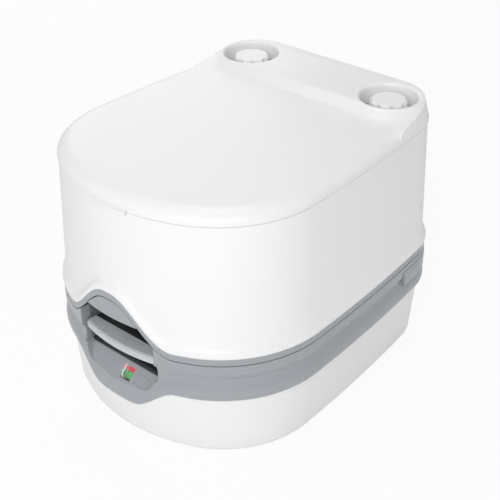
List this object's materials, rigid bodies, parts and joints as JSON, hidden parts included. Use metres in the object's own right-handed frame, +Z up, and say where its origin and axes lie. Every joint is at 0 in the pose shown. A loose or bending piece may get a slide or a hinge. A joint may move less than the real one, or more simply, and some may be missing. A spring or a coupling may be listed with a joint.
{
  "type": "portable toilet",
  "caption": "Portable toilet: a grey and white waste section with slide valve below, a white fresh water section with bowl, seat, lid, filler cap and flush pump above.",
  "frame": {"origin": "middle of the underside of the waste tank, on the floor", "axes": "+Z up, -Y towards the front with the valve handle, +X to the right seen from the front"},
  "size_m": [0.326, 0.395, 0.307],
  "materials": {
    "white_plastic": "satin",
    "white_tank": "satin",
    "grey_plastic": "satin",
    "rubber": "matt",
    "clear": "clear",
    "steel": "plain",
    "red": "satin",
    "green": "satin"
  },
  "bodies": {
    "waste_section": {"waste_tank": "white_tank", "collar": "grey_plastic", "valve_frame": "grey_plastic", "valve_screws": "steel", "throat_seal": "rubber", "level_window": "clear", "float_pivot_pin": "steel", "rear_rail": "grey_plastic", "latch_pin": "steel", "spout_oring": "rubber"},
    "slide_valve": {"valve_blade": "grey_plastic", "valve_handle": "grey_plastic"},
    "level_gauge": {"float_arm": "white_plastic", "float": "white_plastic", "flag_green": "green", "flag_red": "red"},
    "latch": {"rear_latch": "grey_plastic"},
    "spout": {"pour_spout": "grey_plastic"},
    "spout_seal": {"spout_cap_seal": "rubber"},
    "spout_screw_cap": {"spout_cap": "white_plastic"},
    "upper_section": {"upper_shell": "white_plastic", "skirt_ring": "grey_plastic", "upper_floor": "white_plastic", "bowl_deck": "white_plastic", "bowl": "white_plastic", "filler_neck": "white_plastic", "outlet_seal": "rubber", "pump_base": "white_plastic", "pump_bellows": "rubber", "flush_tube": "white_plastic", "spray_nozzle": "white_plastic", "hinge_pins": "steel"},
    "seat": {"seat_ring": "white_plastic", "seat_bumpers": "rubber"},
    "top_lid": {"lid": "white_plastic", "lid_bumpers": "rubber"},
    "filler_seal": {"fill_cap_seal": "rubber"},
    "filler_cap": {"fill_cap": "white_plastic"},
    "flush_knob": {"pump_knob": "white_plastic"}
  },
  "joints": [
    {"name": "valve_pull", "type": "slide", "parent": "waste_section", "child": "slide_valve", "axis": [0, -1, 0], "range_m": [0, 0.092]},
    {"name": "gauge_tilt", "type": "hinge", "parent": "waste_section", "child": "level_gauge", "pos_m": [0.009, -0.142, 0.062], "axis": [1, 0, 0], "range_deg": [0, 32]},
    {"name": "latch_open", "type": "hinge", "parent": "waste_section", "child": "latch", "pos_m": [0, 0.1944, 0.1026], "axis": [-1, 0, 0], "range_deg": [0, 25]},
    {"name": "spout_swing", "type": "hinge", "parent": "waste_section", "child": "spout", "pos_m": [-0.078, 0.132, 0.04], "axis": [0, 0, 1], "range_deg": [0, 90]},
    {"name": "spout_cap_travel", "type": "slide", "parent": "spout", "child": "spout_seal", "axis": [1, 0, 0], "range_m": [0, 0.0101]},
    {"name": "spout_cap_turn", "type": "hinge", "parent": "spout_seal", "child": "spout_screw_cap", "pos_m": [0.034, 0.132, 0.04], "axis": [1, 0, 0], "range_deg": [0, 720]},
    {"name": "section_lift", "type": "slide", "parent": "waste_section", "child": "upper_section", "axis": [0, 0, 1], "range_m": [0, 0.25]},
    {"name": "seat_tilt", "type": "hinge", "parent": "upper_section", "child": "seat", "pos_m": [0, 0.1925, 0.284], "axis": [-1, 0, 0], "range_deg": [0, 78]},
    {"name": "lid_tilt", "type": "hinge", "parent": "seat", "child": "top_lid", "pos_m": [0, 0.1925, 0.284], "axis": [-1, 0, 0], "range_deg": [0, 100]},
    {"name": "filler_cap_travel", "type": "slide", "parent": "upper_section", "child": "filler_seal", "axis": [0, 0, 1], "range_m": [0, 0.0081]},
    {"name": "filler_cap_turn", "type": "hinge", "parent": "filler_seal", "child": "filler_cap", "pos_m": [-0.098, 0.141, 0.29], "axis": [0, 0, 1], "range_deg": [0, 720]},
    {"name": "flush_press", "type": "slide", "parent": "upper_section", "child": "flush_knob", "axis": [0, 0, -1], "range_m": [0, 0.02], "stiffness_N_per_m": 600, "springref_m": -0.004, "deforming": ["pump_bellows"]}
  ],
  "couplings": [
    {"joint": "spout_cap_travel", "follows": "spout_cap_turn", "m_per_rad": 0.00079577},
    {"joint": "filler_cap_travel", "follows": "filler_cap_turn", "m_per_rad": 0.00063662}
  ]
}
